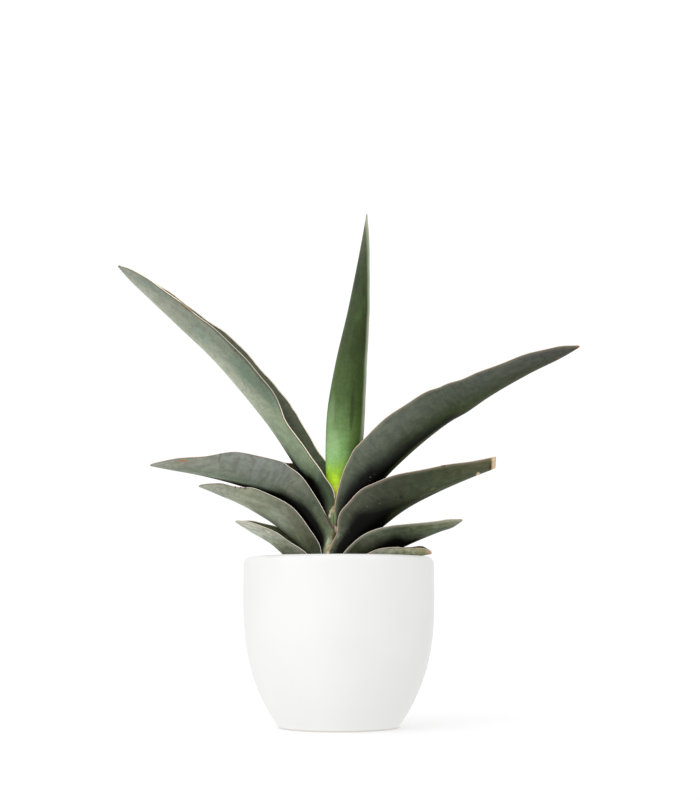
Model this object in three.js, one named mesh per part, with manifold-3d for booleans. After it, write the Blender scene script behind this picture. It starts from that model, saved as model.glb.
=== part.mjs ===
// A potted robusta snake plant: nine stiff channelled leaves set in two ranks on
// a short stem, growing in a plain white ceramic pot. Millimetres, +Z up. The
// origin is the centre of the pot's flat underside. The two ranks of leaves
// spread along X, and each leaf's near edge faces -Y.

import * as THREE from 'three';
import Module from 'manifold-3d';
import { mergeVertices } from 'three/addons/utils/BufferGeometryUtils.js';

const wasm = await Module();
wasm.setup();

// Pot
const POT_RADIUS = 68.5;
const POT_HEIGHT = 120;
const POT_WALL = 6.5;
const POT_FLOOR = 8;
const FLOOR_RADIUS = 38;
const FOOT_RADIUS = 42;
const WIDEST_HEIGHT = 100;
const BELLY_POWER = 2.85;
const RIM_OUTER_ROUND = 5;
const RIM_INNER_ROUND = 1.5;
const POT_SIDES = 48;

// Soil and stem
const SOIL_LEVEL = 100;
const SOIL_MOUND = 1.3;
const LUMP_HEIGHT = 0.7;
const LUMP_LENGTH = 7;
const SOIL_RINGS = [1, 0.9, 0.75, 0.6, 0.45, 0.3];
const STEM_RADIUS = 9;
const STEM_FOOT = 62;
const STEM_SHOULDER = [102, 103.5, 105.5, 107.5, 109];
const STEM_TOP = 123.6;
const STEM_HALF_WIDTH = 10.5;
const STEM_HALF_THICKNESS = 7.8;
const STEM_SHIFT = -1;
const STEM_SIDES = 28;
const GAP = 0.3;

// Leaves. A station is the keel's X and Z, then the edges' X and Z, from the base
// to the tip, and a fifth number lifts the far edge above the near one. gape is
// half the width between the edges and grip is the same at the base. wrap is the
// angle that the section turns through from keel to edge: under 90 is an open
// channel, and more rolls the edges in. flesh is the thickness at the keel, seat
// is the same where the base hugs the stem, and sweep carries the tip along Y.
// ripple is the height of the margins' waves where it isn't RIPPLE_HEIGHT.
const LEAVES = [
  {
    name: 'leaf_centre', colour: 0x557247,
    gape: 11.5, grip: 5.5, wrap: 140, flesh: 6.5, seat: 0, sweep: 5, ripple: 0.1,
    stations: [
      [-6.5, 124, 3.5, 124], [-7.5, 150, 6, 150], [-9.5, 178, 12, 178], [-9.8, 205, 17, 205],
      [-8.5, 228, 18.5, 228], [-2.5, 263, 20, 262], [6, 300, 22, 299], [12, 330, 22.3, 330],
      [16.5, 354, 22.2, 354], [20.4, 377, 20.9, 377],
    ],
  },
  {
    name: 'leaf_upper_left', colour: 0x7f8d79,
    gape: 14, grip: 7.8, wrap: 82, flesh: 6, seat: 0, sweep: 11, ripple: 0.2,
    stations: [
      [-11, 124, -4, 124], [-12, 133, -4.2, 136], [-15, 145, -4.4, 150], [-19.5, 158, -3.6, 165],
      [-25, 172, -11.3, 178.6, 7], [-33, 187, -22, 194, 7.4], [-50, 213, -39.5, 219, 10],
      [-61.5, 228, -44.8, 233, 7], [-73, 242, -59.5, 253, 4.9], [-95, 267, -84, 279, 5.6],
      [-117, 288, -107, 298, 3.9], [-140, 310, -132, 317.5, 3.5], [-156.5, 326, -152, 331.3, 1],
      [-166.5, 337.5, -166, 338.1],
    ],
  },
  {
    name: 'leaf_upper_right', colour: 0x4a5049,
    gape: 15, grip: 7.8, wrap: 88, flesh: 7.5, seat: 0, sweep: -9,
    stations: [
      [10.5, 124, -2.8, 124], [12.5, 134, -2.6, 138], [16, 145, -3, 151], [21, 157, -0.2, 168],
      [28, 170, 7, 188.5], [37, 180.5, 14.5, 200], [59, 201, 40.5, 223.5, -2], [81, 218, 66, 238.7, -3],
      [93, 224.8, 80.4, 243.9, -3], [111, 237, 101, 252, -3], [140, 253.5, 134, 265, -2],
      [162, 264.2, 158.8, 271.4], [176, 272.2, 175.8, 273.2],
    ],
  },
  {
    name: 'leaf_mid_left', colour: 0x646c66,
    gape: 15.5, grip: 10, wrap: 84, flesh: 6.5, seat: 6, sweep: -13,
    stations: [
      [-15, 112, -8, 113], [-17.5, 120, -7.6, 124.5], [-20.5, 129, -3, 136], [-26, 139, -10.5, 151],
      [-36, 152, -21.3, 169.4, 2], [-45, 159.5, -33.5, 182.2, 5.5], [-56, 165.5, -43, 187.3, 3],
      [-77, 172.6, -70.5, 193.4], [-101, 178.5, -98, 191], [-122.5, 182.2, -121.5, 188.8],
      [-136, 184.6, -135.8, 185.6],
    ],
  },
  {
    name: 'leaf_mid_right', colour: 0x454b42, blunt: true,
    gape: 15, grip: 11.4, wrap: 88, flesh: 7, seat: 7, sweep: 9,
    stations: [
      [13.5, 110, -8.5, 112], [16, 118, -8.4, 121.5], [19.5, 127, -1.2, 136], [22.5, 131.5, 0.2, 148],
      [27.5, 137.5, 7, 158.3], [37, 146, 20, 169.5], [51, 156, 36.5, 176.3, -1], [73, 167.5, 67, 183.8, -2],
      [95, 177.2, 92, 188.2, -1], [114.5, 185, 114.7, 192.6],
    ],
  },
  {
    name: 'leaf_lower_left', colour: 0x6d7565,
    gape: 15, grip: 12.4, wrap: 84, flesh: 6, seat: 8, sweep: 8,
    stations: [
      [-16.5, 106.5, -9, 107.3], [-20.5, 112.5, -12, 117.5], [-25, 121, -13.8, 127],
      [-30.5, 129, -20, 138], [-45, 142, -35, 155.5], [-64, 154, -57, 167], [-75, 159.7, -71, 169.4],
      [-86, 164.3, -83.5, 172], [-95, 168.2, -93.2, 172.9], [-103, 171.5, -102.7, 172.3],
    ],
  },
  {
    name: 'leaf_lower_right', colour: 0x4a5246,
    gape: 14.5, grip: 12.8, wrap: 84, flesh: 6, seat: 9, sweep: -10,
    stations: [
      [16.5, 105.5, -3, 107], [22, 110.5, 1.5, 119], [28, 115, 12.5, 131], [37, 122, 27, 139.3],
      [51, 129, 45, 142], [73, 138, 71, 145.2], [82, 141, 80.5, 146.2], [88.8, 145.6, 88.7, 146.6],
    ],
  },
  {
    name: 'leaf_lowest_left', colour: 0x848c78,
    gape: 13, grip: 15.4, wrap: 80, flesh: 4.5, seat: 8, sweep: -7,
    stations: [
      [-18, 101.8, -7, 102.6], [-23, 106, -13, 112], [-31, 113.5, -23, 121.5],
      [-40, 121.5, -34.5, 130, 3], [-50, 130, -46, 137, 4.5], [-64, 138, -61.5, 143.7, 2],
      [-74.8, 144.9, -74.4, 145.7],
    ],
  },
  {
    name: 'leaf_lowest_right', colour: 0x5a6150,
    gape: 12, grip: 15.4, wrap: 80, flesh: 3.5, seat: 9, sweep: -5,
    stations: [
      [17.5, 101.8, 3, 102.6], [23, 105.2, 10, 114], [30, 110, 26, 124.2], [40, 115.5, 40, 125.8],
      [51, 119.2, 51, 126, 1], [59, 120.7, 59.5, 125.5, 2], [66.8, 122, 66.8, 123.6],
    ],
  },
];
const BASE_FLESH = 2.8;
const FLESH_SHARE = 0.42;
const SEAT_FADE = 1.5;
const EDGE_THICKNESS = 1.2;
const EDGE_SHARE = 0.45;
const OPENING_START = 0.12;
const OPENING_END = 0.55;
const TAPER_START = 0.8;
const TAPER_POWER = 0.85;
const CHANNEL_POWER = 1.3;
const RIPPLE_HEIGHT = 0.4;
const RIPPLE_LENGTH = 21;
const RIPPLE_POWER = 3;
const FAR_RIPPLE_RATE = 1.3;
const FAR_RIPPLE_PHASE = 2;
const RINGS_PER_STATION = 3;
const SECTION_STEPS = 8;

function material(colour, roughness) {
  return new THREE.MeshStandardMaterial({ color: colour, roughness, metalness: 0 });
}

function indexed(positions, indices) {
  const geometry = new THREE.BufferGeometry();
  geometry.setAttribute('position', new THREE.Float32BufferAttribute(positions, 3));
  geometry.setIndex(indices);
  return geometry;
}

// The side wall of a body lofted through rings that all have the same number of points
function wallIndices(rings) {
  const count = rings[0].length;
  const indices = [];
  for (let i = 0; i < rings.length - 1; i += 1) {
    for (let j = 0; j < count; j += 1) {
      const here = i * count + j;
      const next = i * count + ((j + 1) % count);
      indices.push(here, next, next + count);
      indices.push(here, next + count, here + count);
    }
  }
  return indices;
}

// Joins and cuts

function toSolid(geometry) {
  const merged = mergeVertices(geometry, 1e-4);
  return new wasm.Manifold(new wasm.Mesh({
    numProp: 3,
    vertProperties: new Float32Array(merged.getAttribute('position').array),
    triVerts: new Uint32Array(merged.getIndex().array),
  }));
}

function cut(geometry, tool) {
  const { vertProperties, triVerts } = toSolid(geometry).subtract(toSolid(tool)).getMesh();
  const result = new THREE.BufferGeometry();
  result.setAttribute('position', new THREE.BufferAttribute(vertProperties, 3));
  result.setIndex(new THREE.BufferAttribute(triVerts, 1));
  return result;
}

// Turned bodies: a profile of [radius, height] pairs that starts and ends on the axis

function turned(profile) {
  const points = profile.map(([radius, height]) => new THREE.Vector2(radius, height));
  const geometry = new THREE.LatheGeometry(points, POT_SIDES);
  geometry.deleteAttribute('normal');
  geometry.deleteAttribute('uv');
  geometry.rotateX(Math.PI / 2);
  return mergeVertices(geometry, 1e-3);
}

// The outside of the pot bellies out quickly from the foot and is upright at the top
function potRadius(height) {
  const below = Math.max(0, 1 - height / WIDEST_HEIGHT);
  return POT_RADIUS - (POT_RADIUS - FOOT_RADIUS) * below ** BELLY_POWER;
}

// A quarter round from the angle `from`, in degrees, about a centre
function quarterRound(radius, height, size, from, steps) {
  const points = [];
  for (let step = 0; step <= steps; step += 1) {
    const turn = THREE.MathUtils.degToRad(from + (90 * step) / steps);
    points.push([radius + size * Math.cos(turn), height + size * Math.sin(turn)]);
  }
  return points;
}

const WALL_HEIGHTS = [4, 9, 15, 22, 30, 39, 50, 64, 80, 98];
const INNER_CORNER = 16;

function makePot() {
  const inside = WALL_HEIGHTS.filter((height) => height >= INNER_CORNER).reverse();
  const outerCentre = [POT_RADIUS - RIM_OUTER_ROUND, POT_HEIGHT - RIM_OUTER_ROUND];
  const innerCentre = [POT_RADIUS - POT_WALL + RIM_INNER_ROUND, POT_HEIGHT - RIM_INNER_ROUND];
  return turned([
    [0, 0],
    [FOOT_RADIUS, 0],
    ...WALL_HEIGHTS.map((height) => [potRadius(height), height]),
    ...quarterRound(...outerCentre, RIM_OUTER_ROUND, 0, 4),
    ...quarterRound(...innerCentre, RIM_INNER_ROUND, 90, 3),
    ...inside.map((height) => [potRadius(height) - POT_WALL, height]),
    [FLOOR_RADIUS, POT_FLOOR],
    [0, POT_FLOOR],
  ]);
}

// The soil fills the pot, rises a little round the stem and has a plain round hole
// that the stem stands in. Its top is lumpy between the stem and the wall.
function makeSoil() {
  const clearance = POT_WALL + GAP;
  const wall = WALL_HEIGHTS.filter((height) => height >= INNER_CORNER && height < SOIL_LEVEL);
  const rim = potRadius(SOIL_LEVEL) - clearance;
  const hole = STEM_RADIUS + GAP;
  const geometry = turned([
    [0, POT_FLOOR + GAP],
    [FLOOR_RADIUS - GAP, POT_FLOOR + GAP],
    ...wall.map((height) => [potRadius(height) - clearance, height]),
    ...SOIL_RINGS.map((part) => [rim * part, SOIL_LEVEL]),
    [hole, SOIL_LEVEL],
    [hole, STEM_FOOT - GAP],
    [0, STEM_FOOT - GAP],
  ]);
  const position = geometry.getAttribute('position');
  for (let i = 0; i < position.count; i += 1) {
    const x = position.getX(i);
    const y = position.getY(i);
    const outward = THREE.MathUtils.smoothstep(Math.hypot(x, y), 2 * hole, rim);
    const between = Math.sin(Math.PI * outward);
    const lump = Math.sin(x / LUMP_LENGTH) * Math.cos(y / LUMP_LENGTH) + Math.sin((x - y) / LUMP_LENGTH);
    if (position.getZ(i) === SOIL_LEVEL) {
      position.setZ(i, SOIL_LEVEL + SOIL_MOUND * (1 - outward) + LUMP_HEIGHT * lump * between);
    }
  }
  return geometry;
}

// The stem is round below its shoulder and flattened between the two ranks above it.
// grow offsets its outside, for cutting the leaf bases that clasp it.
function makeStem(grow = 0) {
  const rings = [STEM_FOOT, ...STEM_SHOULDER, STEM_TOP + grow].map((height) => {
    const flat = THREE.MathUtils.smoothstep(height, STEM_SHOULDER[0], STEM_SHOULDER.at(-1));
    const halfWidth = THREE.MathUtils.lerp(STEM_RADIUS, STEM_HALF_WIDTH, flat) + grow;
    const halfThickness = THREE.MathUtils.lerp(STEM_RADIUS, STEM_HALF_THICKNESS, flat) + grow;
    return Array.from({ length: STEM_SIDES }, (_, j) => {
      const turn = (2 * Math.PI * j) / STEM_SIDES;
      return [STEM_SHIFT * flat + halfWidth * Math.cos(turn), halfThickness * Math.sin(turn), height];
    });
  });
  const indices = wallIndices(rings);
  const top = (rings.length - 1) * STEM_SIDES;
  for (let j = 1; j < STEM_SIDES - 1; j += 1) {
    indices.push(0, j + 1, j);
    indices.push(top, top + j, top + j + 1);
  }
  return indexed(rings.flat(2), indices);
}

// One section of a leaf as [across, up] pairs: round the outside from the near edge
// by the keel to the far edge, then back along the channel.
function leafSection(leaf, shape) {
  const wrap = THREE.MathUtils.degToRad(leaf.wrap);
  const widest = Math.sin(Math.min(wrap, Math.PI / 2));
  const point = (side, half, floor, power) => {
    const turn = wrap * Math.abs(side);
    const rise = (1 - Math.cos(turn)) / (1 - Math.cos(wrap));
    const across = half * (Math.sin(turn) / widest) ** power;
    const height = shape.depth + (side > 0 ? shape.lift : 0);
    const ripple = (side > 0 ? shape.farRipple : shape.nearRipple) * rise ** RIPPLE_POWER;
    return [Math.sign(side) * across, floor + (height - floor) * rise + ripple];
  };
  const sides = Array.from({ length: SECTION_STEPS + 1 }, (_, j) => (2 * j) / SECTION_STEPS - 1);
  const channelHalf = shape.half - shape.edge;
  return [
    ...sides.map((side) => point(side, shape.half, 0, 1)),
    ...sides.reverse().map((side) => point(side, channelHalf, shape.flesh, CHANNEL_POWER)),
  ];
}

// The rings of a leaf from its clasping base towards its tip
function leafRings(leaf, ringCount) {
  const spline = (points) => new THREE.CatmullRomCurve3(points, false, 'centripetal');
  const keel = spline(leaf.stations.map(([x, z]) => new THREE.Vector3(x, 0, z)));
  const edge = spline(leaf.stations.map(([, , x, z, lift = 0]) => new THREE.Vector3(x, lift, z)));
  const spans = leaf.stations.length - 1;
  const deepest = Math.max(...leaf.stations.map(([kx, kz, ex, ez]) => Math.hypot(ex - kx, ez - kz)));
  const ripples = (2 * Math.PI * keel.getLength()) / RIPPLE_LENGTH;
  return Array.from({ length: ringCount }, (_, i) => {
    const t = i / (spans * RINGS_PER_STATION);
    const low = keel.getPoint(t);
    const high = edge.getPoint(t);
    const up = new THREE.Vector3(high.x - low.x, 0, high.z - low.z);
    const depth = up.length();
    up.divideScalar(depth);
    const opened = THREE.MathUtils.smoothstep(t, OPENING_START, OPENING_END);
    const narrowed = Math.min(1, depth / (TAPER_START * deepest)) ** TAPER_POWER;
    const taper = t < OPENING_END ? 1 : narrowed;
    const half = THREE.MathUtils.lerp(leaf.grip, leaf.gape, opened) * taper;
    const seat = leaf.seat * Math.max(0, 1 - SEAT_FADE * t * spans);
    const body = THREE.MathUtils.lerp(BASE_FLESH, leaf.flesh, opened);
    const ripple = (leaf.ripple ?? RIPPLE_HEIGHT) * taper * opened;
    const section = leafSection(leaf, {
      depth,
      half,
      lift: high.y,
      flesh: Math.min(Math.max(body, seat), FLESH_SHARE * depth + seat),
      edge: Math.min(EDGE_THICKNESS, EDGE_SHARE * half),
      nearRipple: ripple * Math.sin(ripples * t),
      farRipple: ripple * Math.sin(FAR_RIPPLE_RATE * ripples * t + FAR_RIPPLE_PHASE),
    });
    const drift = leaf.sweep * t ** 3;
    return section.map(([across, rise]) => [low.x + up.x * rise, across + drift, low.z + up.z * rise]);
  });
}

// Fills an end ring whose second half runs back along its first half
function endIndices(start, count) {
  const indices = [];
  for (let j = 0; j < count / 2 - 1; j += 1) {
    const back = count - 1 - j;
    indices.push(start + j, start + j + 1, start + back);
    indices.push(start + j + 1, start + back - 1, start + back);
  }
  return indices;
}

// A leaf ends in a point, or in a flat face where its tip has been cut off. Rings whose
// keel lies to the left of their edges are turned round, so that the faces look outwards.
function makeLeaf(leaf) {
  const [keelX, keelZ, edgeX, edgeZ] = leaf.stations.at(-1);
  const toTip = (leaf.stations.length - 1) * RINGS_PER_STATION;
  const rings = leafRings(leaf, leaf.blunt ? toTip + 1 : toTip);
  if (leaf.stations[0][0] < leaf.stations[0][2]) rings.forEach((ring) => ring.reverse());
  const count = rings[0].length;
  const last = (rings.length - 1) * count;
  const positions = rings.flat(2);
  const indices = [...wallIndices(rings), ...endIndices(0, count).reverse()];
  if (leaf.blunt) {
    indices.push(...endIndices(last, count));
  } else {
    positions.push((keelX + edgeX) / 2, leaf.sweep, (keelZ + edgeZ) / 2);
    for (let j = 0; j < count; j += 1) {
      indices.push(last + j, last + ((j + 1) % count), last + count);
    }
  }
  return indexed(positions, indices);
}

const group = new THREE.Group();

function add(name, geometry, finish) {
  const mesh = new THREE.Mesh(geometry, finish);
  mesh.name = name;
  group.add(mesh);
}

add('pot', makePot(), material(0xf4f4f3, 0.35));
add('soil', makeSoil(), material(0x2f241c, 0.95));
add('stem', makeStem(), material(0x8a7f52, 0.7));
for (const leaf of LEAVES) {
  add(leaf.name, cut(makeLeaf(leaf), makeStem(GAP)), material(leaf.colour, 0.5));
}

export default group;
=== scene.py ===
import math
import random

import bmesh
import bpy
from mathutils import Matrix, Vector, noise


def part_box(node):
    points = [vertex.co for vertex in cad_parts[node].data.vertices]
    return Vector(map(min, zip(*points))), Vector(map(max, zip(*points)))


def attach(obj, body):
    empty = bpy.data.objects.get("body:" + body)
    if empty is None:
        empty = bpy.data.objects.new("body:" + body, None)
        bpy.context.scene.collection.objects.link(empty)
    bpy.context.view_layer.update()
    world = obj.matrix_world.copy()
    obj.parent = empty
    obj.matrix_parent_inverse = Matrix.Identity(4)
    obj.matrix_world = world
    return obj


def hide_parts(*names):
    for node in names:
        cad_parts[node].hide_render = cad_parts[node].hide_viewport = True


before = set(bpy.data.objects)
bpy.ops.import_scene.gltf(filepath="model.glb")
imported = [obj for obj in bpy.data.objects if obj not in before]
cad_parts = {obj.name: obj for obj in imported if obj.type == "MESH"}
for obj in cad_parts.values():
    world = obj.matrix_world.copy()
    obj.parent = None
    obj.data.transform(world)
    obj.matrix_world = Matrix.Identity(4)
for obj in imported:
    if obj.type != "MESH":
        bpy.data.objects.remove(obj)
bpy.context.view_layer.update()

bl_info = {
    "name": "Potted robusta snake plant",
    "version": (1, 0, 0),
    "blender": (4, 5, 0),
    "location": "3D View > Sidebar > Snake Plant",
    "description": "Builds the finished pot, soil, rootstock and leaves round the packed solids",
    "category": "Object",
}

MM = 0.001
BODY = "root"

# Pot, in millimetres
POT_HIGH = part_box("pot")[1]
POT_RADIUS = POT_HIGH.x / MM
POT_HEIGHT = POT_HIGH.z / MM
POT_WALL = 6.5
POT_FLOOR = 8.0
POT_SIDES = 128
FLOOR_RADIUS = 38.0
FLOOR_ROUND = 3.0
FOOT_RADIUS = 42.0
FOOT_ROUND = 1.6
WIDEST_HEIGHT = 100.0
BELLY_POWER = 2.85
BELLY_STEPS = 40
INSIDE_TOP = 96.0
INSIDE_BOTTOM = 16.0
INSIDE_STEPS = 24
RIM_OUTER_ROUND = 5.0
RIM_INNER_ROUND = 1.5

# Soil, in millimetres
SOIL_LEVEL = 100.0
SOIL_INSET = 6.8
SOIL_RADIUS = POT_RADIUS - SOIL_INSET
SOIL_BOTTOM = 8.3
SOIL_BOTTOM_RADIUS = 37.7
SOIL_SIDE_HEIGHTS = (16, 22, 30, 39, 50, 64, 80, 92, 97)
SOIL_SIDES = 96
SOIL_RINGS = 44
SOIL_DROP = 0.8
MOUND_HEIGHT = 1.3
MOUND_RADIUS = 18.6
LUMP_HEIGHT = 0.9
LUMP_FINENESS = 0.09
CLOD_HEIGHT = 0.35
CLOD_FINENESS = 0.5

# Loose grains, in millimetres: sizes are shares of the common one
GRAIN_REACH = POT_RADIUS - 8.6
GRAIN_INNER_SHARE = 0.03
GRAIN_SIZES = (0.45, 1.25)
GRAIN_SIZE_POWER = 1.5
GRAIN_LENGTHS = (0.7, 1.4)
GRAIN_WIDTHS = (0.7, 1.2)
GRAIN_HEIGHTS = (0.6, 1.0)
GRAIN_LIFT = 0.25
GRAIN_DENTS = 0.35
GRAIN_DENT_FINENESS = 900
CRUMB_SEED = 11
PERLITE_SEED = 12
PERLITE_SIZE = 1.2
PERLITE_FLATNESS = 0.8

# Rootstock, in millimetres
STEM_RADIUS = 9.0
STEM_HALF_WIDTH = 10.5
STEM_HALF_THICKNESS = 7.8
STEM_SHIFT = -1.0
STEM_BURIED_HEIGHTS = (62, 80, 98)
STEM_ROUND_UP_TO = 102
STEM_FLAT_FROM = 109
STEM_TOP = 124
STEM_SIDES = 40

# The leaf formula, in millimetres, as the solids have it
BASE_FLESH = 2.8
FLESH_SHARE = 0.42
SEAT_FADE = 1.5
EDGE_THICKNESS = 1.2
EDGE_SHARE = 0.45
OPENING_START = 0.12
OPENING_END = 0.55
TAPER_START = 0.8
TAPER_POWER = 0.85
CHANNEL_POWER = 1.3
RIPPLE_HEIGHT = 0.4
RIPPLE_LENGTH = 21.0
RIPPLE_POWER = 3
FAR_RIPPLE_RATE = 1.3
FAR_RIPPLE_PHASE = 2.0
LENGTH_STEPS = 200
ROWS_PER_STATION = 12
OUTER_STEPS = 36
INNER_STEPS = 28
CAP_STEPS = 5
SPLINE_LEAST_GAP = 1e-4

# Patterns on the leaves: how fine each is across and along, its detail, roughness and distortion
PATCHES = ((9.0, 34.0, 1.0), 3.0, 0.55, 0.5)
STREAKS = ((70.0, 22.0, 1.0), 3.0, 0.6, 0.0)
GRAIN = ((240.0, 620.0, 1.0), 3.0, 0.6, 0.0)
MOTTLE = ((26.0, 230.0, 1.0), 2.0, 0.55, 0.3)

# How far the patches push the colours along the leaf, across it and at its tip
WAY_WANDER = 0.05
FLANK_WANDER = 0.25
TIP_WANDER = 0.01

# How dark and light each pattern makes the skin, or how far from 1 for the mottling
STREAK_TONES = (0.95, 1.04)
GRAIN_TONES = (0.88, 1.11)
HOLLOW_TONES = (0.86, 1.14)
MOTTLE_DARKER = 0.28
MOTTLE_LIGHTER = 0.26

# How the skin changes by its side, from the keel at 0 to a margin at 1
FLANK_SPAN = (0.3, 0.92)
KEEL_LIGHT = 1.3
KEEL_SPAN = (0.1, 0.38)
NEST_SHADE = "020201"
NEST_SHARE = 0.99
NEST_KEEL_SHARE = 0.82
NEST_KEEL_SPAN = (0.05, 0.3)

# How the skin changes near a margin, in metres or in widths of the margin or line; the channel is painted
# lighter by its margins and darker deep inside, as painted shade
HOLLOW_SPAN = (0.001, 0.012)
HOLLOW_EDGE = 1.2
HOLLOW_DEPTH = 0.6
NO_GLOW = (0.0, 0.001)
MARGIN_RAGGEDNESS = 0.0006
MARGIN_SPAN = (0.8, 1.15)
LINE_SPAN = (0.6, 1.5)

# Where blotches, channel, marks and tip fade, and how ragged marks are; marks are blemishes, painted shade
# and painted sheen
PATCH_SPAN = (0.48, 0.72)
CHANNEL_SPAN = (0.6, 0.9)
MARKED_SPAN = (0.55, 0.75)
TIP_SPAN = 0.012
MARK_RAGGEDNESS = 0.7

# How bright the white room is on each side, and where that fades into the next
ROOM_LEFT = 0.84
ROOM_FRONT_LEFT = 1.01
ROOM_RIGHT = 0.85
ROOM_BELOW = 1.1
ROOM_BACK = 1.06
LEFT_FADE = (-1.0, -0.3)
RIGHT_FADE = (-0.6, 0.9)
BELOW_FADE = (-0.35, -0.06)
BACK_FADE = (0.75, 0.9)
KEY_FROM = (-0.62, -0.62, 0.48)
KEY_FOCUS = 8
STAGE_HALF_SIZE = 60.0

# The camera's eye in metres, its tilt in degrees, and its focal length in pixels
EYE = (0.008, -1.040, 0.082)
TILT = 8.34
FOCAL_PIXELS = 1435.6
PICTURE_HEIGHT = 800
SENSOR = 36.0
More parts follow.
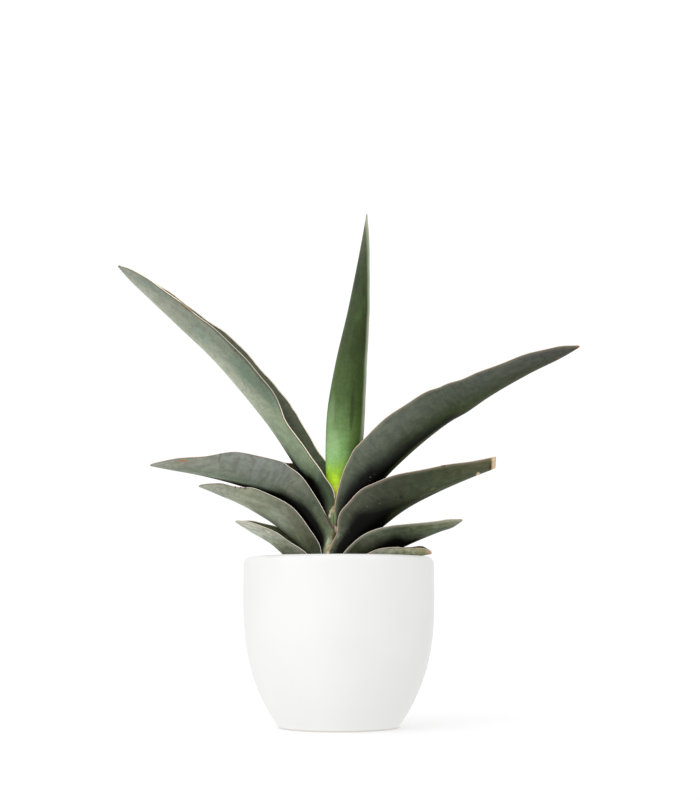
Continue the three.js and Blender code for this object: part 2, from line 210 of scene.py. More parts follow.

# Each leaf, from its clasping base to its tip; ways along it run from 0 to 1.
# gape and grip: half its width in millimetres, where it is open and at its base.
# wrap: degrees from the keel to a margin round its section; flesh: how thick the keel is.
# seat: how far its base is filled towards the stem; sweep: how far its tip drifts along Y.
# ripple: the height of its margins' waves; blunt: it ends in a flat cut.
# stations: the keel's X and Z, the margins' X and Z, and how much the far margin is lifted.
# crown and keel: the colours beside the margins and along the keel, each with its way along; they hold
# painted sheen where a flank faces the light and painted shade where it faces away and near the base
# nest: how far from the keel the deep shade reaches, which is the first number less the
# second times the way along, and at most the third; the fourth is how softly it ends.
# channel: the colour inside, darkened with painted shade; patch: its blotches' colour and share, and how
# mottled it is.
# margin: the colour of its margins; breadth: their width, if not 1; line: how dark the line
# beneath them is; glow: how much the margin's colour lies on the skin beside it, and how wide.
# tip: its colour and where it starts.
# marks: each has its way along, its side from the keel at 0 to a margin at 1, half its size along and
# across, its colour and its strength. Most are blemishes of the leaf's own colour; some are painted shade
# and painted sheen.
LEAVES = (
    {
        "name": "centre", "slot": "leaf_young",
        "gape": 11.5, "grip": 5.5, "wrap": 140, "flesh": 6.5, "seat": 0, "sweep": 5, "ripple": 0.1,
        "stations": (
            (-6.5, 124, 3.5, 124), (-7.5, 150, 6, 150), (-9.5, 178, 12, 178), (-9.8, 205, 17, 205),
            (-8.5, 228, 18.5, 228), (-2.5, 263, 20, 262), (6, 300, 22, 299), (12, 330, 22.3, 330),
            (16.5, 354, 22.2, 354), (20.4, 377, 20.9, 377),
        ),
        "crown": (
            (0.14, "e8f49c"), (0.165, "dcec3c"), (0.205, "70a440"), (0.3, "50682a"), (0.45, "374a1d"),
            (0.6, "323f1b"), (0.8, "3f4a2c"), (0.92, "58613f"), (0.99, "7c7e68"),
        ),
        "keel": (
            (0.15, "f4f470"), (0.2, "d0fa30"), (0.235, "b4e440"), (0.275, "9ccc80"), (0.38, "7e9e66"),
            (0.46, "577040"), (0.6, "42502f"), (0.8, "444e38"), (0.94, "6a705c"), (0.99, "8c8878"),
        ),
        "nest": (0.0, 1.0, 0.0, 0.1), "channel": "7c8868", "patch": ("68904e", 0.2, 0.3),
        "margin": "c6cfb4", "line": 0.0, "glow": (0.75, 0.0032), "tip": ("b49a80", 0.975),
        "marks": (
            # On the centre leaf the dark marks are painted shade and the two pale green ones painted sheen
            (0.43, 0.72, 0.09, 0.05, "263210", 0.55), (0.575, 0.62, 0.02, 0.14, "313c18", 0.45),
            (0.75, 0.36, 0.03, 0.22, "363e2c", 0.5), (0.32, 0.3, 0.06, 0.25, "b0d0a0", 0.35),
            (0.42, 0.25, 0.07, 0.15, "a6c096", 0.3), (0.075, 0.44, 0.02, 0.2, "e0a050", 0.9),
        ),
    },
    {
        "name": "upper_left", "slot": "leaf_grey_green",
        "gape": 14, "grip": 7.8, "wrap": 82, "flesh": 6, "seat": 0, "sweep": 11, "ripple": 0.2,
        "stations": (
            (-11, 124, -4, 124), (-12, 133, -4.2, 136), (-15, 145, -4.4, 150), (-19.5, 158, -3.6, 165),
            (-25, 172, -11.3, 178.6, 7), (-33, 187, -22, 194, 7.4), (-50, 213, -39.5, 219, 10),
            (-61.5, 228, -44.8, 233, 7), (-73, 242, -59.5, 253, 4.9), (-95, 267, -84, 279, 5.6),
            (-117, 288, -107, 298, 3.9), (-140, 310, -132, 317.5, 3.5), (-156.5, 326, -152, 331.3, 1),
            (-166.5, 337.5, -166, 338.1),
        ),
        "crown": (
            (0.1, "586c4c"), (0.2, "4c5c44"), (0.3, "4a5640"), (0.37, "869678"), (0.47, "92a084"),
            (0.58, "707b68"), (0.7, "868d7c"), (0.88, "929588"), (0.98, "9c9e92"),
        ),
        "keel": (
            (0.3, "5c6c48"), (0.42, "a0b094"), (0.54, "b0b8a2"), (0.64, "afb6a2"), (0.76, "a0a694"),
            (0.88, "acb0a0"), (0.98, "929689"),
        ),
        "nest": (2.25, 5.0, 0.75, 0.14), "channel": "5c6250", "patch": ("6a8c7a", 0.35, 0.4),
        "margin": "fff6dc", "breadth": 1.35, "line": 0.85, "tip": ("7a7468", 0.985),
        "marks": (
            (0.785, 1.0, 0.02, 0.1, "7a6046", 0.6), (0.62, 0.78, 0.05, 0.18, "5e7e6c", 0.3),
            (0.63, 1.0, 0.16, 0.09, "54584a", 0.5), (0.55, 0.84, 0.04, 0.14, "547464", 0.3),
            (0.73, 0.6, 0.03, 0.16, "74988a", 0.3), (0.665, 0.95, 0.003, 0.025, "4a3a2c", 0.7),
            (0.652, 0.955, 0.002, 0.02, "4a3a2c", 0.7), (0.6, 0.95, 0.002, 0.02, "46362a", 0.7),
            # the mark at 0.26 beside the margin is painted shade cast by the margin
            (0.26, 0.96, 0.07, 0.1, "343a2a", 0.3), (0.2, 1.0, 0.02, 0.08, "4e4426", 0.85),
            (0.138, 1.0, 0.03, 0.16, "8aa876", 0.95), (0.178, 0.98, 0.01, 0.08, "c0a878", 0.9),
            (0.17, 0.92, 0.011, 0.08, "d6c69c", 0.95), (0.156, 0.87, 0.012, 0.08, "ece0c4", 0.95),
            (0.03, 0.8, 0.03, 0.4, "6c6440", 0.9), (0.0, 0.6, 0.016, 0.1, "f0d8c8", 0.95),
        ),
    },
    {
        "name": "upper_right", "slot": "leaf_dark_green",
        "gape": 15, "grip": 7.8, "wrap": 88, "flesh": 7.5, "seat": 0, "sweep": -9,
        "stations": (
            (10.5, 124, -2.8, 124), (12.5, 134, -2.6, 138), (16, 145, -3, 151), (21, 157, -0.2, 168),
            (28, 170, 7, 188.5), (37, 180.5, 14.5, 200), (59, 201, 40.5, 223.5, -2),
            (81, 218, 66, 238.7, -3), (93, 224.8, 80.4, 243.9, -3), (111, 237, 101, 252, -3),
            (140, 253.5, 134, 265, -2), (162, 264.2, 158.8, 271.4), (176, 272.2, 175.8, 273.2),
        ),
        "crown": (
            (0.1, "4a5840"), (0.2, "525e4a"), (0.3, "606858"), (0.46, "656c5e"), (0.62, "545a4d"),
            (0.8, "565a50"), (0.9, "4f504a"), (0.98, "5c5a50"),
        ),
        "keel": ((0.4, "283216"), (0.56, "303b1d"), (0.66, "3a4326"), (0.8, "424836"), (0.95, "4c4e44")),
        "nest": (1.3, 1.75, 0.92, 0.16), "channel": "424a3e", "patch": ("3c4a3a", 0.3, 0.55),
        "margin": "dcc8b0", "line": 0.1, "glow": (0.14, 0.0025), "tip": ("c06a50", 0.984),
        "marks": (
            (0.91, 0.3, 0.006, 0.06, "a86048", 0.7), (0.47, 0.1, 0.13, 0.17, "4a5630", 0.6),
            (0.343, 0.51, 0.0022, 0.014, "a8a490", 0.7), (0.366, 0.47, 0.0016, 0.01, "908c7a", 0.6),
            (0.332, 0.47, 0.0015, 0.01, "8c8068", 0.6), (0.145, 1.0, 0.035, 0.05, "8aa070", 0.9),
            (0.095, 1.0, 0.02, 0.1, "f8e2c0", 0.95), (0.975, 0.4, 0.01, 0.15, "6a4a3c", 0.5),
        ),
    },
    {
        "name": "mid_left", "slot": "leaf_grey_green",
        "gape": 15.5, "grip": 10, "wrap": 84, "flesh": 6.5, "seat": 6, "sweep": -13,
        "stations": (
            (-15, 112, -8, 113), (-17.5, 120, -7.6, 124.5), (-20.5, 129, -3, 136), (-26, 139, -10.5, 151),
            (-36, 152, -21.3, 169.4, 2), (-45, 159.5, -33.5, 182.2, 5.5), (-56, 165.5, -43, 187.3, 3),
            (-77, 172.6, -70.5, 193.4), (-101, 178.5, -98, 191), (-122.5, 182.2, -121.5, 188.8),
            (-136, 184.6, -135.8, 185.6),
        ),
        "crown": (
            (0.14, "aeba94"), (0.24, "6c765b"), (0.35, "58624f"), (0.45, "7c8172"), (0.6, "838880"),
            (0.75, "8a8e83"), (0.85, "959787"), (0.97, "a0a294"),
        ),
        "keel": (
            (0.35, "4c563f"), (0.5, "5e6850"), (0.65, "6a7360"), (0.75, "808a77"), (0.86, "888f7f"),
            (0.97, "a2a596"),
        ),
        "nest": (1.22, 1.42, 0.76, 0.09), "channel": "423c28", "patch": ("5e7468", 0.35, 0.6),
        "margin": "ffeee2", "line": 0.3, "tip": ("948672", 0.985),
        "marks": (
            (0.856, 0.87, 0.024, 0.06, "a87850", 0.8), (0.645, 0.75, 0.012, 0.4, "969c98", 0.3),
            (0.69, 0.7, 0.008, 0.35, "969c96", 0.25), (0.6, 0.75, 0.008, 0.3, "969c98", 0.25),
            (0.19, 1.0, 0.035, 0.09, "5e5028", 0.9), (0.165, 0.84, 0.035, 0.06, "c8d4ac", 0.85),
            (0.13, 0.93, 0.014, 0.09, "dcc4a4", 0.9), (0.255, 1.0, 0.055, 0.03, "553629", 0.85),
            (0.088, 1.0, 0.014, 0.07, "e4cca4", 0.9), (0.75, 0.9, 0.004, 0.2, "52564c", 0.4),
        ),
    },
    {
        "name": "mid_right", "slot": "leaf_dark_green", "blunt": True,
        "gape": 15, "grip": 11.4, "wrap": 88, "flesh": 7, "seat": 7, "sweep": 9,
        "stations": (
            (13.5, 110, -8.5, 112), (16, 118, -8.4, 121.5), (19.5, 127, -1.2, 136), (22.5, 131.5, 0.2, 148),
            (27.5, 137.5, 7, 158.3), (37, 146, 20, 169.5), (51, 156, 36.5, 176.3, -1),
            (73, 167.5, 67, 183.8, -2), (95, 177.2, 92, 188.2, -1), (114.5, 185, 114.7, 192.6),
        ),
        "crown": (
            (0.1, "58604c"), (0.25, "5c6450"), (0.4, "545848"), (0.55, "4c5143"), (0.65, "454a3b"),
            (0.75, "3e4531"), (0.85, "4b5037"), (0.97, "5c5b40"),
        ),
        "keel": ((0.5, "222a18"), (0.65, "323a22"), (0.75, "4f573f"), (0.86, "4a523a"), (0.97, "565a44")),
        "nest": (1.62, 1.9, 0.8, 0.11), "channel": "40463a", "patch": ("2c3624", 0.35, 0.6),
        "margin": "dac4b2", "line": 0.1, "glow": (0.2, 0.0025), "tip": ("e2c8a2", 0.9785),
        "marks": (
            (0.66, 0.56, 0.012, 0.05, "181c12", 0.6), (0.64, 0.6, 0.006, 0.03, "181c12", 0.6),
            (0.76, 0.4, 0.012, 0.07, "7c784e", 0.4), (0.72, 0.32, 0.01, 0.05, "706c48", 0.3),
            (0.976, 0.35, 0.0075, 0.5, "4e341e", 0.9), (0.926, 0.2, 0.011, 0.24, "e0cca8", 0.85),
            # the near-black mark at 0.17 is painted shade deep in the nest
            (0.815, 0.99, 0.01, 0.05, "6a4a36", 0.75), (0.17, 0.74, 0.15, 0.21, "050603", 0.95),
            (0.56, 0.64, 0.07, 0.13, "20251a", 0.5), (0.62, 0.1, 0.12, 0.32, "4c5436", 0.55),
            (0.14, 1.0, 0.045, 0.03, "c0a47c", 0.85), (0.115, 1.0, 0.02, 0.05, "f2dcc8", 0.9),
            (0.215, 0.97, 0.02, 0.04, "9a9c8c", 0.6), (0.5, 0.75, 0.003, 0.02, "a89c80", 0.3),
            (0.56, 0.66, 0.003, 0.02, "a89c80", 0.25),
        ),
    },
    {
        "name": "lower_left", "slot": "leaf_grey_green",
        "gape": 15, "grip": 12.4, "wrap": 84, "flesh": 6, "seat": 8, "sweep": 8,
        "stations": (
            (-16.5, 106.5, -9, 107.3), (-20.5, 112.5, -12, 117.5), (-25, 121, -13.8, 127),
            (-30.5, 129, -20, 138), (-45, 142, -35, 155.5), (-64, 154, -57, 167), (-75, 159.7, -71, 169.4),
            (-86, 164.3, -83.5, 172), (-95, 168.2, -93.2, 172.9), (-103, 171.5, -102.7, 172.3),
        ),
        "crown": (
            (0.15, "4e5648"), (0.25, "464a38"), (0.35, "666652"), (0.45, "7b7e6b"), (0.6, "91967f"),
            (0.75, "9a9d88"), (0.9, "b0b2a0"),
        ),
        "keel": (
            (0.2, "545b43"), (0.35, "848c71"), (0.44, "aeb8a2"), (0.6, "a6ac96"), (0.8, "9ea396"),
            (0.95, "a8ac9c"),
        ),
        "nest": (0.87, 2.0, 0.8, 0.1), "channel": "4a463a", "patch": ("6c806a", 0.3, 0.6),
        "margin": "f8ece0", "line": 0.35, "tip": ("a49c88", 0.985),
        "marks": (
            (0.695, 1.0, 0.005, 0.1, "3c3028", 0.8), (0.665, 1.0, 0.004, 0.08, "3c3028", 0.8),
            (0.635, 1.0, 0.006, 0.1, "4a3c30", 0.8), (0.417, 0.94, 0.008, 0.05, "84584a", 0.5),
            (0.343, 0.5, 0.018, 0.018, "ccd0bc", 0.7), (0.52, 0.5, 0.06, 0.12, "80886c", 0.4),
        ),
    },
    {
        "name": "lower_right", "slot": "leaf_dark_green",
        "gape": 14.5, "grip": 12.8, "wrap": 84, "flesh": 6, "seat": 9, "sweep": -10,
        "stations": (
            (16.5, 105.5, -3, 107), (22, 110.5, 1.5, 119), (28, 115, 12.5, 131), (37, 122, 27, 139.3),
            (51, 129, 45, 142), (73, 138, 71, 145.2), (82, 141, 80.5, 146.2), (88.8, 145.6, 88.7, 146.6),
        ),
        "crown": (
            (0.25, "40452f"), (0.35, "5e6550"), (0.45, "5e6750"), (0.56, "4a523a"), (0.66, "646c51"),
            (0.76, "7c8065"), (0.95, "8e8f78"),
        ),
        "keel": (
            (0.4, "20281a"), (0.55, "2a3420"), (0.65, "525d48"), (0.76, "606a58"), (0.86, "727668"),
            (0.97, "888a76"),
        ),
        "nest": (2.72, 4.0, 0.7, 0.16), "channel": "3a3e30", "patch": ("465440", 0.35, 0.8),
        "margin": "dad2c0", "line": 0.05, "glow": (0.28, 0.0025), "tip": ("8c7c64", 0.985),
        "marks": ((0.7, 0.7, 0.02, 0.2, "8c8e74", 0.35), (0.6, 0.8, 0.01, 0.1, "39402c", 0.5)),
    },
    {
        "name": "lowest_left", "slot": "leaf_grey_green",
        "gape": 13, "grip": 15.4, "wrap": 80, "flesh": 4.5, "seat": 8, "sweep": -7,
        "stations": (
            (-18, 101.8, -7, 102.6), (-23, 106, -13, 112), (-31, 113.5, -23, 121.5),
            (-40, 121.5, -34.5, 130, 3), (-50, 130, -46, 137, 4.5), (-64, 138, -61.5, 143.7, 2),
            (-74.8, 144.9, -74.4, 145.7),
        ),
        "crown": (
            (0.3, "868a74"), (0.45, "969a88"), (0.55, "a0a68e"), (0.65, "b6b9a6"), (0.8, "c6c7b4"),
            (0.95, "c6c4b6"),
        ),
        "keel": (
            (0.4, "6c7860"), (0.5, "929e80"), (0.6, "bac2a6"), (0.7, "d0d6c2"), (0.85, "ccd0c2"),
            (0.96, "b8bcae"),
        ),
        "nest": (0.0, 1.0, 0.0, 0.1), "channel": "60644e", "patch": ("8c9a84", 0.35, 0.8),
        "margin": "f4ecdc", "line": 0.35, "tip": ("b4a894", 0.98),
        "marks": ((0.5, 0.7, 0.03, 0.12, "6c745c", 0.5), (0.62, 0.4, 0.02, 0.1, "98a084", 0.4)),
    },
    {
        "name": "lowest_right", "slot": "leaf_dark_green",
        "gape": 12, "grip": 15.4, "wrap": 80, "flesh": 3.5, "seat": 9, "sweep": -5,
        "stations": (
            (17.5, 101.8, 3, 102.6), (23, 105.2, 10, 114), (30, 110, 26, 124.2), (40, 115.5, 40, 125.8),
            (51, 119.2, 51, 126, 1), (59, 120.7, 59.5, 125.5, 2), (66.8, 122, 66.8, 123.6),
        ),
        "crown": ((0.3, "acb098"), (0.5, "b6b99e"), (0.7, "c4c8a6"), (0.84, "b2ae84"), (0.93, "b4a684")),
        "keel": ((0.4, "94987c"), (0.6, "b8ba9c"), (0.8, "c0c29a"), (0.95, "b8b090")),
        "nest": (0.0, 1.0, 0.0, 0.1), "channel": "645a3c", "patch": ("76805c", 0.5, 1.0),
        "margin": "e0d4bc", "line": 0.5, "tip": ("e4a488", 0.955),
        "marks": (
            (0.6, 0.8, 0.02, 0.2, "7c8464", 0.5), (0.75, 0.7, 0.015, 0.15, "8a8c6a", 0.5),
            (0.68, 0.75, 0.012, 0.3, "6c7656", 0.5), (0.88, 0.6, 0.02, 0.3, "747e5c", 0.45),
        ),
    },
)


def linear(code):
    """A screen colour written as six hex digits, as the linear colour a shader takes."""
    shares = [int(code[i:i + 2], 16) / 255 for i in (0, 2, 4)]
    return (*(c / 12.92 if c <= 0.04045 else ((c + 0.055) / 1.055) ** 2.4 for c in shares), 1.0)


def smooth(value, low, high):
    """Goes smoothly from 0 to 1 as the value goes from low to high."""
    share = min(1.0, max(0.0, (value - low) / (high - low)))
    return share * share * (3 - 2 * share)


# Settings


def colour(name, description, code):
    return bpy.props.FloatVectorProperty(
        name=name, description=description, subtype="COLOR", size=4, min=0.0, max=1.0, default=linear(code),
    )


def factor(name, description, value):
    return bpy.props.FloatProperty(
        name=name, description=description, subtype="FACTOR", min=0.0, max=1.0, default=value,
    )


def distance(name, description, value, low, high):
    return bpy.props.FloatProperty(
        name=name, description=description, subtype="DISTANCE", unit="LENGTH",
        min=low, max=high, default=value,
    )


def count(name, description, value, most):
    return bpy.props.IntProperty(name=name, description=description, min=0, max=most, default=value)


class PotSettings(bpy.types.PropertyGroup):
    """The pot's glaze"""

    glaze: colour("Glaze", "Colour of the satin glaze", "f9f9f8")
    roughness: factor("Roughness", "How matt the glaze is", 0.36)


class SoilSettings(bpy.types.PropertyGroup):
    """The potting soil and the grains on it"""

    peat: colour("Peat", "Colour of the damp peat", "33281f")
    crumb: distance("Crumb size", "Radius of a common crumb", 0.0013, 0.0003, 0.004)
    crumbs: count("Crumbs", "How many crumbs lie on the soil", 1500, 4000)
    perlite: count("Perlite", "How many white grains lie among them", 70, 400)


class LeafSettings(bpy.types.PropertyGroup):
    """What all the leaves share"""

    line: colour("Line", "Colour of the line beneath the margin", "54382c")
    margin_width: distance("Margin width", "Width of the pale margin", 0.0008, 0.0, 0.003)
    line_width: distance("Line width", "Width of the line beneath it", 0.0005, 0.0, 0.003)
    roughness: factor("Roughness", "How matt the waxy skin is", 0.46)


class StageSettings(bpy.types.PropertyGroup):
    """Floor and light"""

    floor: colour("Floor", "Colour of the floor", "f4f4f4")
    floor_glow: factor("Floor glow", "Light the floor adds of its own, to keep its shadow faint", 0.16)
    key: bpy.props.FloatProperty(
        name="Key light", description="Strength of the soft light at the front left",
        min=0.0, max=10.0, default=0.92,
    )


# Meshes and materials


def placed(name, shape, material):
    """Makes an object from a bmesh and puts it in the scene."""
    mesh = bpy.data.meshes.new(name)
    shape.to_mesh(mesh)
    shape.free()
    mesh.materials.append(material)
    piece = bpy.data.objects.new(name, mesh)
    bpy.context.scene.collection.objects.link(piece)
    return piece


def finished_piece(name, shape, material, slot, *nodes):
    """Makes a piece from a bmesh, hides the parts it stands for and hangs it on the body it rides on."""
    piece = placed(name, shape, material)
    piece.data.shade_smooth()
    if nodes:
        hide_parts(*nodes)
    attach(piece, BODY)
    return piece


def turned_shape(profile, sides):
    """Spins a profile of radius and height, in millimetres, that starts and ends on the axis."""
    shape = bmesh.new()
    points = [shape.verts.new((radius * MM, 0.0, height * MM)) for radius, height in profile]
    outline = [shape.edges.new(pair) for pair in zip(points, points[1:])]
    bmesh.ops.spin(
        shape, geom=points + outline, cent=(0, 0, 0), axis=(0, 0, 1),
        angle=math.tau, steps=sides, use_merge=True,
    )
    bmesh.ops.remove_doubles(shape, verts=shape.verts, dist=1e-6)
    bmesh.ops.recalc_face_normals(shape, faces=shape.faces)
    return shape


class Nodes:
    """A node tree and short ways to add to it."""

    def __init__(self, owner):
        owner.use_nodes = True
        self.tree = owner.node_tree

    def node(self, kind, values=None, **settings):
        """Adds a node with values or links, by the names or numbers of its sockets."""
        made = self.tree.nodes.new(kind)
        for key, value in settings.items():
            setattr(made, key, value)
        for socket, value in (values or {}).items():
            self.put(made.inputs[socket], value)
        return made

    def put(self, socket, value):
        """Links an output to a socket, or sets the socket's own value."""
        if isinstance(value, bpy.types.NodeSocket):
            self.tree.links.new(value, socket)
        else:
            socket.default_value = value

    def attribute(self, name):
        return self.node("ShaderNodeAttribute", attribute_name=name).outputs["Fac"]

    def place(self):
        return self.node("ShaderNodeTexCoord").outputs["Object"]

    def pattern(self, vector, scale, detail=2.0, rough=0.5, distortion=0.0):
        """A noise pattern between 0 and 1."""
        return self.node(
            "ShaderNodeTexNoise",
            {
                "Vector": vector, "Scale": scale, "Detail": detail,
                "Roughness": rough, "Distortion": distortion,
            },
        ).outputs["Fac"]

    def scaled(self, vector, scale):
        return self.node("ShaderNodeMapping", {"Vector": vector, "Scale": scale}).outputs["Vector"]

    def math(self, operation, first, second):
        return self.node("ShaderNodeMath", {0: first, 1: second}, operation=operation).outputs[0]

    def nudged(self, value, pattern, amount):
        """A value moved by a share of a pattern."""
        return self.math("ADD", value, self.math("MULTIPLY", pattern, amount))

    def step(self, value, low, high, below=0.0, above=1.0):
        """Goes smoothly from one number to another as the value goes from low to high."""
        return self.node(
            "ShaderNodeMapRange",
            {"Value": value, "From Min": low, "From Max": high, "To Min": below, "To Max": above},
            interpolation_type="SMOOTHSTEP",
        ).outputs["Result"]

    def mix(self, share, first, second, blend="MIX"):
        return self.node(
            "ShaderNodeMix", {"Factor": share, "A": first, "B": second}, data_type="RGBA", blend_type=blend,
        ).outputs["Result"]

    def dappled(self, tone, pattern, dark, light, low=0.3, high=0.7):
        """A colour made darker or lighter as a pattern goes from low to high."""
        return self.mix(1.0, tone, self.step(pattern, low, high, dark, light), "MULTIPLY")

    def tones(self, value, stops):
        """A ramp through colours at the given places."""
        made = self.node("ShaderNodeValToRGB", {"Fac": value})
        ramp = made.color_ramp
        while len(ramp.elements) < len(stops):
            ramp.elements.new(0.5)
        for element, (place, code) in zip(ramp.elements, stops):
            element.position = place
            element.color = linear(code)
        return made.outputs["Color"]

    def bump(self, height, strength, depth, under=None):
        values = {"Height": height, "Strength": strength, "Distance": depth}
        if under is not None:
            values["Normal"] = under
        return self.node("ShaderNodeBump", values).outputs["Normal"]


class Finish(Nodes):
    """A material made of nodes round one Principled shader."""

    def __init__(self, name):
        self.material = bpy.data.materials.new(name)
        super().__init__(self.material)
        self.shader = self.tree.nodes["Principled BSDF"]

    def skin(self, **values):
        """Sets sockets of the shader, with underlines for the blanks in their names."""
        for name, value in values.items():
            self.put(self.shader.inputs[name.replace("_", " ").title().replace("Ior", "IOR")], value)


# Pot


def pot_radius(height):
    """The outside radius of the pot at a height, in millimetres."""
    below = max(0.0, 1 - height / WIDEST_HEIGHT)
    return POT_RADIUS - (POT_RADIUS - FOOT_RADIUS) * below ** BELLY_POWER


def quarter_round(radius, height, size, start, steps):
    """Points on a quarter of a circle about a centre, from an angle in degrees."""
    turns = [math.radians(start + 90 * step / steps) for step in range(steps + 1)]
    return [(radius + size * math.cos(turn), height + size * math.sin(turn)) for turn in turns]


def even_steps(start, end, steps):
    """Evenly spaced numbers from one to another, both among them."""
    return [start + (end - start) * (step / steps) for step in range(steps + 1)]


def glaze_finish(settings):
    finish = Finish("Satin white glaze")
    place = finish.place()
    cloud = finish.pattern(place, 14.0, 3.0)
    tint = finish.mix(finish.step(cloud, 0.3, 0.7), settings.glaze, linear("f5f5f4"))
    height = finish.node("ShaderNodeSeparateXYZ", {"Vector": place}).outputs["Z"]
    bare_foot = finish.step(height, 0.0006, 0.0014, 1.0, 0.0)
    matt, sheen = settings.roughness + 0.06, settings.roughness - 0.05
    finish.skin(
        base_color=finish.mix(bare_foot, tint, linear("dcd8d0")),
        roughness=finish.step(finish.pattern(place, 40.0, 4.0), 0.2, 0.8, sheen, matt),
        coat_weight=0.15,
        coat_roughness=0.22,
        normal=finish.bump(finish.pattern(place, 260.0), 0.12, 0.0004),
    )
    return finish.material


def build_pot():
    settings = bpy.context.scene.snake_plant_pot
    foot = pot_radius(FOOT_ROUND) - FOOT_ROUND
    rim = POT_RADIUS - RIM_OUTER_ROUND
    lip = POT_RADIUS - POT_WALL + RIM_INNER_ROUND
    outside = even_steps(FOOT_ROUND, WIDEST_HEIGHT, BELLY_STEPS)[1:]
    inside = even_steps(INSIDE_TOP, INSIDE_BOTTOM, INSIDE_STEPS)
    profile = [(0.0, 0.0)]
    profile += quarter_round(foot, FOOT_ROUND, FOOT_ROUND, 270, 5)
    profile += [(pot_radius(height), height) for height in outside]
    profile += quarter_round(rim, POT_HEIGHT - RIM_OUTER_ROUND, RIM_OUTER_ROUND, 0, 10)
    profile += quarter_round(lip, POT_HEIGHT - RIM_INNER_ROUND, RIM_INNER_ROUND, 90, 6)
    profile += [(pot_radius(height) - POT_WALL, height) for height in inside]
    profile += quarter_round(FLOOR_RADIUS, POT_FLOOR + FLOOR_ROUND, FLOOR_ROUND, 0, 4)[::-1]
    profile += [(0.0, POT_FLOOR)]
    shape = turned_shape(profile, POT_SIDES)
    finished_piece("ceramic_pot", shape, glaze_finish(settings), "pot", "pot")


# Soil


def soil_height(x, y):
    """Height of the soil's top at a point, in millimetres."""
    mound = MOUND_HEIGHT * (1 - smooth(math.hypot(x, y), MOUND_RADIUS, SOIL_RADIUS))
    lumps = noise.fractal(Vector((x, y, 0.0)) * LUMP_FINENESS, 1.0, 2.0, 3)
    clods = noise.fractal(Vector((x, y, 7.0)) * CLOD_FINENESS, 1.0, 2.0, 3)
    return SOIL_LEVEL + mound + LUMP_HEIGHT * lumps + CLOD_HEIGHT * clods - SOIL_DROP


def soil_finish(name, dark, pale, scale):
    finish = Finish(name)
    place = finish.place()
    grain = finish.pattern(place, scale, 5.0, 0.65)
    cells = finish.node("ShaderNodeTexVoronoi", {"Vector": place, "Scale": scale * 1.6}).outputs["Distance"]
    finish.skin(
        base_color=finish.mix(finish.step(grain, 0.35, 0.7), dark, pale),
        roughness=0.95,
        specular_ior_level=0.25,
        normal=finish.bump(finish.math("SUBTRACT", grain, cells), 0.8, 0.0008),
    )
    return finish.material


def build_soil():
    settings = bpy.context.scene.snake_plant_soil
    profile = [(0.0, SOIL_BOTTOM), (SOIL_BOTTOM_RADIUS, SOIL_BOTTOM)]
    profile += [(pot_radius(height) - SOIL_INSET, height) for height in SOIL_SIDE_HEIGHTS]
    profile += [(radius, SOIL_LEVEL) for radius in even_steps(SOIL_RADIUS, 0.0, SOIL_RINGS)]
    shape = turned_shape(profile, SOIL_SIDES)
    for vert in shape.verts:
        if vert.co.z > (SOIL_LEVEL - 1) * MM:
            vert.co.z = soil_height(vert.co.x / MM, vert.co.y / MM) * MM
    peat = soil_finish("Damp peat", settings.peat, linear("5a4a3a"), 420.0)
    finished_piece("potting_soil", shape, peat, "soil", "soil")
    scatter("soil_crumbs", settings.crumbs, settings.crumb / MM, peat, CRUMB_SEED, 1.0)
    white = soil_finish("Perlite", linear("d8d4ca"), linear("b8b2a4"), 900.0)
    scatter("perlite_grains", settings.perlite, PERLITE_SIZE, white, PERLITE_SEED, PERLITE_FLATNESS)


def scatter(name, number, size, material, seed, flatness):
    """Strews small angular grains over the soil as one piece."""
    draw = random.Random(seed)
    noise.seed_set(seed)
    shape = bmesh.new()
    for _ in range(number):
        radius = math.sqrt(draw.uniform(GRAIN_INNER_SHARE, 1.0)) * GRAIN_REACH
        turn = draw.uniform(0, math.tau)
        x, y = radius * math.cos(turn), radius * math.sin(turn)
        grain = size * draw.uniform(*GRAIN_SIZES) ** GRAIN_SIZE_POWER
        length, width = draw.uniform(*GRAIN_LENGTHS), draw.uniform(*GRAIN_WIDTHS)
        height = flatness * draw.uniform(*GRAIN_HEIGHTS)
        place = Matrix.Translation(Vector((x, y, soil_height(x, y) + grain * GRAIN_LIFT)) * MM)
        spin = Matrix.Rotation(draw.uniform(0, math.tau), 4, draw.choice("XYZ"))
        turnabout = Matrix.Rotation(draw.uniform(0, math.tau), 4, "Z")
        scale = Matrix.Diagonal((*(grain * MM * part for part in (length, width, height)), 1.0))
        made = bmesh.ops.create_icosphere(
            shape, subdivisions=1, radius=1.0, matrix=place @ turnabout @ spin @ scale,
        )
        for vert in made["verts"]:
            dent = noise.noise_vector(vert.co * GRAIN_DENT_FINENESS + Vector((x, y, 0)))
            vert.co += dent * grain * MM * GRAIN_DENTS
    piece = finished_piece(name, shape, material, "soil")
    piece.data.shade_flat()


# Rootstock


def bark_finish():
    finish = Finish("Rootstock")
    place = finish.place()
    grain = finish.pattern(finish.scaled(place, (1.0, 1.0, 0.25)), 500.0, 4.0, 0.6)
    blotch = finish.pattern(place, 130.0, 3.0)
    tone = finish.mix(finish.step(grain, 0.3, 0.7), linear("8e8a58"), linear("5f6a40"))
    tone = finish.mix(finish.step(blotch, 0.52, 0.66), tone, linear("9a7448"))
    finish.skin(base_color=tone, roughness=0.75, normal=finish.bump(grain, 0.5, 0.0005))
    return finish.material


